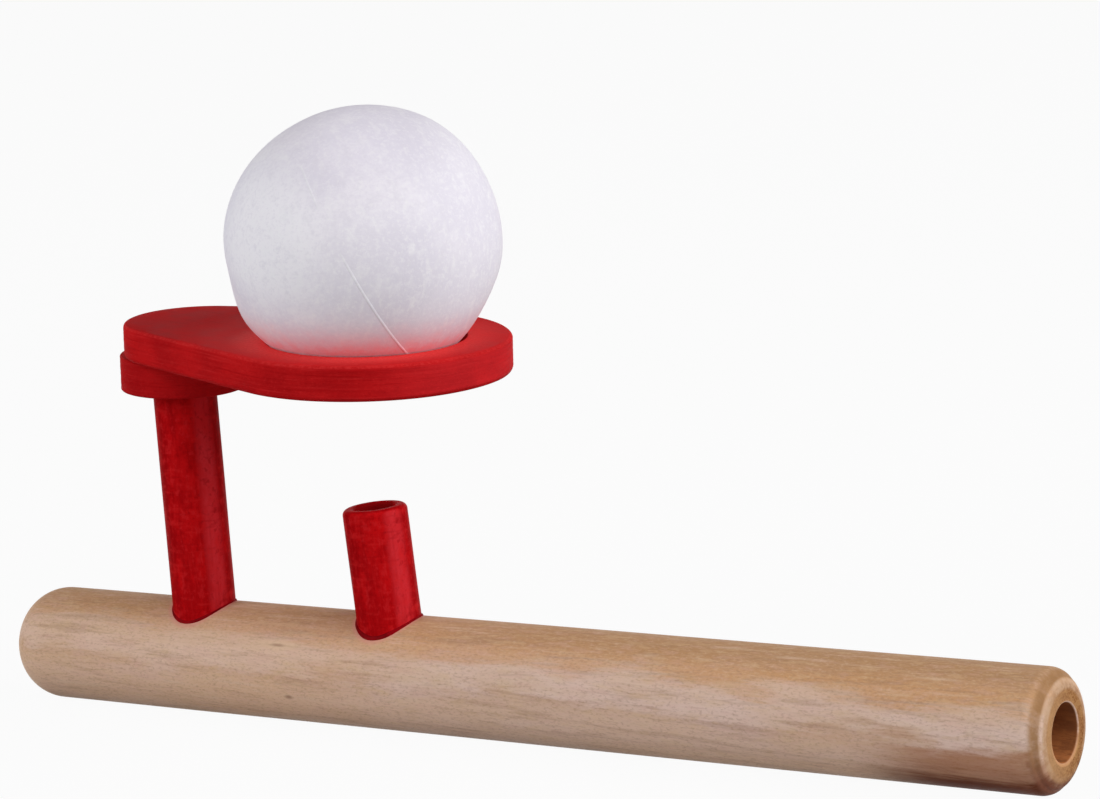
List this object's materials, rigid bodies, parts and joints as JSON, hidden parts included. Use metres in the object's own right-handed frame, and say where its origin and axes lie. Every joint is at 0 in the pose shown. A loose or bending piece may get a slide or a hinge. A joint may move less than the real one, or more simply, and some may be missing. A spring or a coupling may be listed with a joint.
{
  "type": "blow ball pipe toy",
  "caption": "Wooden blow pipe with an upright nozzle tube, a post-mounted hoop above it, and a light foam ball resting in the hoop, lifted by the air blown through the pipe.",
  "frame": {"origin": "centre of the mouthpiece end, on the pipe's axis", "axes": "+X along the pipe, out of the mouthpiece; +Z the way the nozzle tube blows and the post stands; the XZ plane runs along the middle of the pipe, and the dowels stand 0.9 mm to the -Y side of it"},
  "size_m": [0.185, 0.0444, 0.097],
  "materials": {
    "pale_wood": "satin",
    "red_wood": "satin",
    "white_foam": "matte"
  },
  "bodies": {
    "pipe_body": {"pipe": "pale_wood", "nozzle_tube": "red_wood", "post": "red_wood", "collar": "red_wood", "hoop_plate": "red_wood"},
    "ball": {"ball": "white_foam"}
  },
  "joints": [
    {"name": "ball_lift", "type": "slide", "parent": "pipe_body", "child": "ball", "axis": [0, 0, 1], "range_m": [0, 0.1]}
  ]
}
